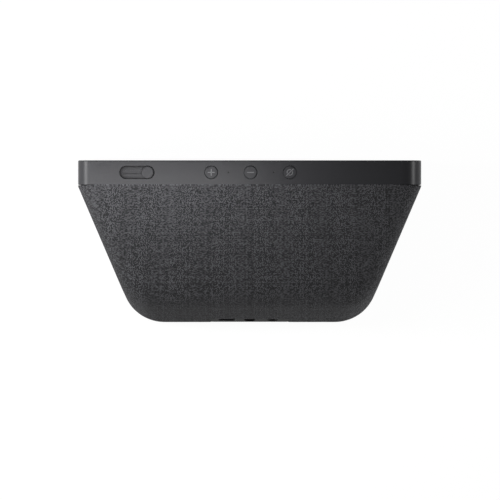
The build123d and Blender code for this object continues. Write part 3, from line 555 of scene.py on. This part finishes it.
@dataclass
class ClothCover:
    """The cloth stretched over the rear housing, its front edge turned in beside the frame."""

    thickness: float = 0.8 * MM
    cuts: int = 59
    edge_round: float = 0.35 * MM
    port_clearance: float = 0.4 * MM
    port_corner: float = 2.3 * MM
    flush: float = 0.7 * MM
    easing: int = 3
    easing_share: float = 0.5
    merge: float = 0.02 * MM
    fold_steps: int = 3
    fold_angle: float = math.radians(60)
    port_steps: int = 8
    bridge_margin: float = 1.5 * MM
    bridge_depth: float = 6 * MM
    bridge_step: float = 3 * MM
    hem_margin: float = 1 * MM
    cut_margin: float = 10 * MM
    side_facing: float = 0.62
    slope_facing: float = 0.9
    side_run: float = 1.085
    rear_run: float = 1.06
    slope_run: float = 1.33

    def build(self, panel: Panel, frame: dict, cloth: bpy.types.Material) -> bpy.types.Object:
        """Stretch a tapered grid over the CAD cover, cut its openings and give it its thickness.

        Args:
            panel: The leaning panel's frame.
            cloth: The woven finish.

        Returns:
            The cloth piece.
        """
        node = frame["nodes"]["fabric_cover"]
        grid = self.tapered_block(panel, frame)
        bmesh.ops.subdivide_edges(grid, edges=grid.edges[:], cuts=self.cuts, use_grid_fill=True)
        self.stretch(grid, node, panel)
        self.open_base(grid)
        bmesh.ops.remove_doubles(grid, verts=grid.verts, dist=self.merge)
        bmesh.ops.recalc_face_normals(grid, faces=grid.faces)
        self.lay_threads(grid, panel)
        for face in grid.faces:
            face.smooth = True
        piece = make_piece("cloth_cover", grid, cloth)
        wall = piece.modifiers.new("wall", "SOLIDIFY")
        wall.thickness = self.thickness
        wall.offset = -1
        fold = piece.modifiers.new("fold", "BEVEL")
        fold.width = self.edge_round
        fold.segments = self.fold_steps
        fold.limit_method = "ANGLE"
        fold.angle_limit = self.fold_angle
        settle(piece)
        self.cut_port(piece)
        return piece

    def tapered_block(self, panel: Panel, frame: dict) -> bmesh.types.BMesh:
        """Set a cube's corners where the body's flat walls would meet, its front left open.

        Args:
            panel: The leaning panel's frame.

        Returns:
            The open block.
        """
        axes = {j["name"]: Vector(j["axis"]).normalized() for j in frame["joints"]}
        narrowing = math.sqrt(1 - axes["right_cone_travel"].x ** 2) / axes["right_cone_travel"].x
        slope = axes["radiator_travel"]
        low, high = panel.reach(frame["nodes"]["fabric_cover"])
        floor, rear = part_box("fabric_cover")[0].z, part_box("fabric_cover")[1].y
        crest = panel.at(0, low.y + self.flush, high.z)
        front_rise = (floor - panel.at(0, low.y, 0).z) / panel.up.z
        profile = {
            (-1, -1): panel.at(0, low.y, front_rise),
            (-1, 1): panel.at(0, low.y, high.z),
            (1, -1): Vector((0, rear, floor)),
            (1, 1): Vector((0, rear, crest.z - (rear - crest.y) * slope.y / slope.z)),
        }
        block = bmesh.new()
        bmesh.ops.create_cube(block, size=2.0)
        for vertex in block.verts:
            side, back, top = (round(c) for c in vertex.co)
            place = profile[(back, top)].copy()
            place.x = side * (high.x - (panel.local(place).y - low.y) * narrowing)
            vertex.co = place
        front = min(block.faces, key=lambda f: panel.local(f.calc_center_median()).y)
        bmesh.ops.delete(block, geom=[front], context="FACES_ONLY")
        return block

    def stretch(self, grid: bmesh.types.BMesh, node: bpy.types.Object, panel: Panel) -> None:
        """Draw the grid onto the CAD cover, bridging its port opening, and ease out the facets.

        A last row of edges goes in where the cloth turns from its fold onto the slope.

        Args:
            grid: The tapered grid, which is changed.
            node: The CAD cover.
            panel: The leaning panel's frame.
        """
        shell = BVHTree.FromPolygons(
            [v.co for v in node.data.vertices], [p.vertices for p in node.data.polygons]
        )
        port_low, port_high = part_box("port_panel")
        opening = (port_high.z - port_low.z) / 2 + self.bridge_margin
        middle_z = (port_low.z + port_high.z) / 2
        rim = {v for e in grid.edges if e.is_boundary for v in e.verts}
        held = []
        for vertex in grid.verts:
            nearest = shell.find_nearest(vertex.co)[0]
            bridged = (
                nearest.y > port_low.y - self.bridge_depth
                and abs(nearest.x) < port_high.x + self.bridge_margin
                and abs(nearest.z - middle_z) < opening
            )
            if bridged:
                beside = math.copysign(port_high.x + self.bridge_step, vertex.co.x)
                nearest = shell.find_nearest(Vector((beside, vertex.co.y, vertex.co.z)))[0]
                nearest.x = vertex.co.x
                held.append(vertex)
            vertex.co = nearest
        loose = [v for v in grid.verts if v not in rim]
        for _ in range(self.easing):
            bmesh.ops.smooth_vert(
                grid,
                verts=loose,
                factor=self.easing_share,
                use_axis_x=True,
                use_axis_y=True,
                use_axis_z=True,
            )
            for vertex in loose:
                if vertex not in held:
                    vertex.co = shell.find_nearest(vertex.co)[0]
        turn = bmesh.ops.bisect_plane(
            grid,
            geom=[*grid.verts, *grid.edges, *grid.faces],
            plane_co=panel.at(0, panel.reach(node)[0].y + self.flush, 0),
            plane_no=panel.back,
        )
        for vertex in turn["geom_cut"]:
            if isinstance(vertex, bmesh.types.BMVert):
                vertex.co = shell.find_nearest(vertex.co)[0]

    def open_base(self, grid: bmesh.types.BMesh) -> None:
        """Take away the underside within the base plate's outline, leaving the turned hem.

        Args:
            grid: The stretched grid, which is changed.
        """
        low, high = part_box("base_plate")
        under = [
            f
            for f in grid.faces
            if f.calc_center_median().z < high.z + self.hem_margin
            and abs(f.calc_center_median().x) < high.x
            and low.y < f.calc_center_median().y < high.y
        ]
        bmesh.ops.delete(grid, geom=under, context="FACES")

    def lay_threads(self, grid: bmesh.types.BMesh, panel: Panel) -> None:
        """Map the weave in metres: x and the run along the profile, or depth and height on the sides.

        Args:
            grid: The stretched grid.
            panel: The leaning panel's frame.
        """
        layer = grid.loops.layers.uv.new("weave")
        for face in grid.faces:
            side = abs(face.normal.x) > self.side_facing
            slope = face.normal.dot(panel.back)
            level = face.normal.dot(panel.up)
            for loop in face.loops:
                spot = panel.local(loop.vert.co)
                if side:
                    loop[layer].uv = (spot.y * self.side_run, spot.z)
                elif slope > self.slope_facing * abs(level):
                    loop[layer].uv = (spot.x, spot.z * self.rear_run)
                else:
                    loop[layer].uv = (spot.x, spot.y * self.slope_run)

    def cut_port(self, piece: bpy.types.Object) -> None:
        """Cut the rounded opening for the port panel through the cloth.

        Args:
            piece: The solid cloth, which is changed.
        """
        low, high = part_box("port_panel")
        size = high - low + 2 * Vector((self.port_clearance, self.cut_margin, self.port_clearance))
        cutter = bmesh.new()
        place = Matrix.Translation((low + high) / 2) @ Matrix.Diagonal((*size, 1))
        bmesh.ops.create_cube(cutter, size=1.0, matrix=place)
        along = [e for e in cutter.edges if abs((e.verts[0].co - e.verts[1].co).y) > self.cut_margin]
        bmesh.ops.bevel(
            cutter,
            geom=along,
            offset=self.port_corner,
            segments=self.port_steps,
            profile=0.5,
            affect="EDGES",
            material=-1,
        )
        tool = make_piece("port_cutter", cutter, piece.data.materials[0])
        cut = piece.modifiers.new("cut", "BOOLEAN")
        cut.object = tool
        cut.solver = "EXACT"
        settle(piece)
        bpy.data.objects.remove(tool)


class KeySymbol(Enum):
    """The mark printed on each top button."""

    PLUS = "volume_up_button"
    MINUS = "volume_down_button"
    MICROPHONE_OFF = "mute_button"


@dataclass
class KeyMarks:
    """Pale marks printed on the buttons."""

    stroke: float = 0.48 * MM
    bar: float = 4.0 * MM
    ring_width: float = 3.7 * MM
    slash: float = 6.0 * MM
    slash_gap: float = 0.4 * MM
    ink: float = 0.04 * MM
    slash_turn: float = math.radians(45)
    ring_steps: int = 20
    section_share: float = 0.02
    end_facing: float = 0.9
    bodies: dict = field(
        default_factory=lambda: {
            KeySymbol.PLUS: "volume_up",
            KeySymbol.MINUS: "volume_down",
            KeySymbol.MICROPHONE_OFF: "mute",
        }
    )

    def build(self, panel: Panel, frame: dict, ink: bpy.types.Material) -> list[bpy.types.Object]:
        """Print each mark on its button's upper face.

        Args:
            panel: The leaning panel's frame.
            ink: The printing ink.

        Returns:
            The marks, riding on their buttons.
        """
        marks = []
        for symbol in KeySymbol:
            low, high = panel.reach(frame["nodes"][symbol.value])
            place = panel.matrix((low.x + high.x) / 2, (low.y + high.y) / 2, high.z)
            mesh = bmesh.new()
            if symbol is KeySymbol.MICROPHONE_OFF:
                self.add_broken_ring(mesh, place)
            else:
                self.add_bar(mesh, place, 0.0, self.bar)
            if symbol is KeySymbol.PLUS:
                self.add_bar(mesh, place, math.pi / 2, self.bar)
            mark = make_piece(f"{symbol.value}_mark", mesh, ink)
            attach(mark, self.bodies[symbol])
            marks.append(mark)
            LOG.info("printed %s", mark.name)
        return marks

    def add_bar(self, mesh: bmesh.types.BMesh, place: Matrix, turn: float, length: float) -> None:
        """Add one straight stroke, lying on the button and turned about its axis."""
        shape = Matrix.Rotation(turn, 4, "Z") @ Matrix.Diagonal((length, self.stroke, self.ink, 1))
        lift = Matrix.Translation((0, 0, self.ink / 2))
        bmesh.ops.create_cube(mesh, size=1.0, matrix=place @ lift @ shape)

    def add_broken_ring(self, mesh: bmesh.types.BMesh, place: Matrix) -> None:
        """Add a ring broken by a slash: two arcs spun from a small section, and a stroke between."""
        radius = (self.ring_width - self.stroke) / 2
        half_gap = math.asin((self.stroke / 2 + self.slash_gap) / radius)
        self.add_bar(mesh, place, self.slash_turn, self.slash)
        for start in (0.0, math.pi):
            section = bmesh.ops.create_cube(mesh, size=1.0)["verts"]
            box = Matrix.Diagonal((self.stroke, self.stroke * self.section_share, self.ink, 1))
            bmesh.ops.transform(mesh, matrix=box, verts=section)
            faces = {f for v in section for f in v.link_faces}
            end = [f for f in faces if f.normal.y > self.end_facing]
            begin = self.slash_turn + start + half_gap
            first = Matrix.Rotation(begin, 4, "Z") @ Matrix.Translation((radius, 0, self.ink / 2))
            bmesh.ops.transform(mesh, matrix=place @ first, verts=section)
            bmesh.ops.spin(
                mesh,
                geom=end,
                cent=place.translation,
                axis=place.to_3x3() @ Vector((0, 0, 1)),
                angle=math.pi - 2 * half_gap,
                steps=self.ring_steps,
                use_merge=False,
                use_duplicate=False,
            )
        bmesh.ops.recalc_face_normals(mesh, faces=mesh.faces)


@dataclass
class ScreenFace:
    """What shows through the cover glass: the dark display and the camera's window."""

    lit_width: float = 172.3 * MM
    lit_height: float = 107.7 * MM
    proud: float = 0.02 * MM
    camera_ring: float = 2.9 * MM
    camera_eye: float = 1.5 * MM
    disc_steps: int = 64

    def build(
        self,
        panel: Panel,
        frame: dict,
        display: bpy.types.Material,
        ring: bpy.types.Material,
        eye: bpy.types.Material,
    ) -> list[bpy.types.Object]:
        """Lay the display's window and the camera's rings on the glass.

        Args:
            panel: The leaning panel's frame.
            display: The switched-off display's finish.
            ring: The finish round the lens.
            eye: The lens glass.

        Returns:
            The pieces, riding on the housing.
        """
        glass_low, _ = panel.reach(frame["nodes"]["cover_glass"])
        low, high = panel.reach(frame["nodes"]["display_panel"])
        lens_low, lens_high = panel.reach(frame["nodes"]["camera_lens"])
        window = bmesh.new()
        size = Matrix.Diagonal((self.lit_width, 2 * self.proud, self.lit_height, 1))
        middle = panel.matrix((low.x + high.x) / 2, glass_low.y, (low.z + high.z) / 2)
        bmesh.ops.create_cube(window, size=1.0, matrix=middle @ size)
        pieces = [make_piece("display_window", window, display)]
        centre = panel.matrix(
            (lens_low.x + lens_high.x) / 2, glass_low.y, (lens_low.z + lens_high.z) / 2
        ) @ Matrix.Rotation(math.pi / 2, 4, "X")
        for name, radius, depth, material in (
            ("camera_ring", self.camera_ring, 2 * self.proud, ring),
            ("camera_eye", self.camera_eye, 4 * self.proud, eye),
        ):
            disc = bmesh.new()
            bmesh.ops.create_cone(
                disc,
                cap_ends=True,
                segments=self.disc_steps,
                radius1=radius,
                radius2=radius,
                depth=depth,
                matrix=centre,
            )
            pieces.append(make_piece(name, disc, material))
        for piece, slot in zip(pieces, ("display", "cover_glass", "lens_glass")):
            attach(piece, "housing")
        return pieces


@dataclass(frozen=True)
class SoftLight:
    """An oblong soft light, placed in the panel's frame and aimed at an x and depth on its top."""

    name: str
    place: tuple[float, float, float]
    aim: tuple[float, float]
    width: float
    height: float
    power: float


@dataclass
class Studio:
    """A pale floor, soft lights and a long-lens camera that looks down along the panel."""

    view_width: float = 291.8 * MM
    lens: float = 1500.0
    axis_x: float = -0.2 * MM
    axis_depth: float = 52.35 * MM
    floor_size: float = 14.0
    sky: float = 0.05
    sky_colour: str = "#f2f2f2"
    sensor_width: float = 36.0
    clip_end: float = 100.0
    floor_colour: str = "#404040"
    floor_roughness: float = 0.9
    floor_glow: float = 0.97
    lights: tuple = (
        SoftLight("key", (0.125, 0.030, 0.235), (0.125, 0.025), 0.26, 0.05, 0.52),
        SoftLight("left_strip", (0.575, -0.02, 0.27), (0.09, 0.0), 0.10, 0.14, 2.6),
        SoftLight("right_strip", (-0.575, -0.02, 0.27), (-0.09, 0.0), 0.10, 0.12, 1.5),
    )

    def build(self, panel: Panel, frame: dict) -> None:
        """Set the floor, the lights, the world and the camera.

        Args:
            panel: The leaning panel's frame.
        """
        top = panel.reach(frame["nodes"]["front_frame"])[1].z
        self.add_floor()
        self.add_camera(panel, top)
        self.add_lights(panel, top)
        world = bpy.data.worlds.new("studio")
        bpy.context.scene.world = world
        world.use_nodes = True
        world.node_tree.nodes["Background"].inputs["Color"].default_value = srgb(self.sky_colour)
        world.node_tree.nodes["Background"].inputs["Strength"].default_value = self.sky
        bpy.context.scene.view_settings.view_transform = "Standard"

    def add_floor(self) -> None:
        """Lay a plain pale floor that glows like a light table, so that shadows on it stay faint."""
        mesh = bmesh.new()
        bmesh.ops.create_grid(mesh, x_segments=1, y_segments=1, size=self.floor_size / 2)
        material, _, shader = new_finish("opal_glass_light_table")
        shader.inputs["Base Color"].default_value = srgb(self.floor_colour)
        shader.inputs["Roughness"].default_value = self.floor_roughness
        shader.inputs["Specular IOR Level"].default_value = 0.0
        shader.inputs["Emission Color"].default_value = (1, 1, 1, 1)
        shader.inputs["Emission Strength"].default_value = self.floor_glow
        floor = make_piece("floor", mesh, material)

    def add_camera(self, panel: Panel, top: float) -> None:
        """Place the camera straight above the panel's top edge, with the screen side up.

        Args:
            panel: The leaning panel's frame.
            top: Height of the frame's top edge up the panel.
        """
        data = bpy.data.cameras.new("camera")
        data.lens = self.lens
        data.sensor_width = self.sensor_width
        data.clip_end = self.clip_end
        camera = bpy.data.objects.new("camera", data)
        bpy.context.scene.collection.objects.link(camera)
        distance = self.view_width * self.lens / data.sensor_width
        turn = Matrix((-Vector((1, 0, 0)), -panel.back, panel.up)).transposed()
        spot = panel.at(self.axis_x, self.axis_depth, top + distance)
        camera.matrix_world = Matrix.Translation(spot) @ turn.to_4x4()
        bpy.context.scene.camera = camera

    def add_lights(self, panel: Panel, top: float) -> None:
        """Hang the soft lights, each aimed at a place on the panel's top.

        Args:
            panel: The leaning panel's frame.
            top: Height of the frame's top edge up the panel.
        """
        for soft in self.lights:
            data = bpy.data.lights.new(soft.name, "AREA")
            data.shape = "RECTANGLE"
            data.size = soft.width
            data.size_y = soft.height
            data.energy = soft.power
            light = bpy.data.objects.new(soft.name, data)
            bpy.context.scene.collection.objects.link(light)
            light.location = panel.at(*soft.place)
            light.rotation_mode = "QUATERNION"
            away = panel.at(*soft.aim, top) - light.location
            light.rotation_quaternion = away.to_track_quat("-Z", "Y")
            light.visible_camera = False


def finishes() -> dict[str, bpy.types.Material]:
    """Build one finish for each material slot of the record.

    Returns:
        Slot name to material.
    """
    return {
        "frame_plastic": MouldedPlastic("moulded_abs_charcoal", "#2e2e30", 0.33).build(),
        "button_plastic": MouldedPlastic("moulded_abs_keys", "#2e2e30", 0.38).build(),
        "black_plastic": MouldedPlastic("moulded_abs_black", "#161617", 0.55).build(),
        "cover_glass": BlackGlass("hardened_black_glass", "#050506").build(),
        "lens_glass": BlackGlass("coated_lens_glass", "#0a0d18", 0.02).build(),
        "display": BlackGlass("display_switched_off", "#0b0c0e", 0.05).build(),
        "steel": SheetMetal("zinc_plated_steel_sheet", "#b4b6b8").build(),
        "screw_steel": SheetMetal("plated_screw_steel", "#8d8e90", 0.3).build(),
        "aluminium": SheetMetal("extruded_aluminium", "#c9cbcd", 0.3).build(),
        "magnet": SheetMetal("plated_magnet_steel", "#5c5c60", 0.4).build(),
        "copper": SheetMetal("enamelled_copper_wire", "#b06a3b", 0.35, 0.15).build(),
        "circuit_board": CircuitBoard("glass_fibre_circuit_board").build(),
        "flex": MouldedPlastic("polyimide_film", "#a3601e", 0.3).build(),
        "foam": Rubber("closed_cell_foam", "#1b1b1b", 0.9).build(),
        "rubber": Rubber("moulded_silicone_rubber", "#1a1a1b").build(),
        "pad": Rubber("silicone_thermal_pad", "#7d8797", 0.7, "#9099a8").build(),
        "cone": MouldedPlastic("pressed_polypropylene_cone", "#1d1d1f", 0.4).build(),
        "fabric": AcousticCloth("woven_acoustic_cloth", "#29292b", "#6a6a6e", "#131314").build(),
    }


def main() -> None:
    """Load the frame, dress it, add the soft and printed pieces, and set the studio."""
    logging.basicConfig(level=logging.INFO, format="%(message)s")
    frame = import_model()
    panel = Panel.of_frame(frame)
    materials = finishes()
    dust_mesh = Rubber("black_dust_mesh", "#020202", 0.9, "#060606").build()
    CadDressing(materials, {"microphones": dust_mesh, "mic_boots": dust_mesh}).dress(frame)

    cloth = ClothCover().build(panel, frame, materials["fabric"])
    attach(cloth, "housing")
    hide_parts("fabric_cover")
    LOG.info("stretched %s", cloth.name)

    ink = MouldedPlastic("pad_printed_ink", "#5c5c5e", 0.6).build()
    KeyMarks().build(panel, frame, ink)
    ScreenFace().build(
        panel, frame, materials["display"], materials["cover_glass"], materials["lens_glass"]
    )
    Studio().build(panel, frame)


if __name__ == "__main__":
    main()
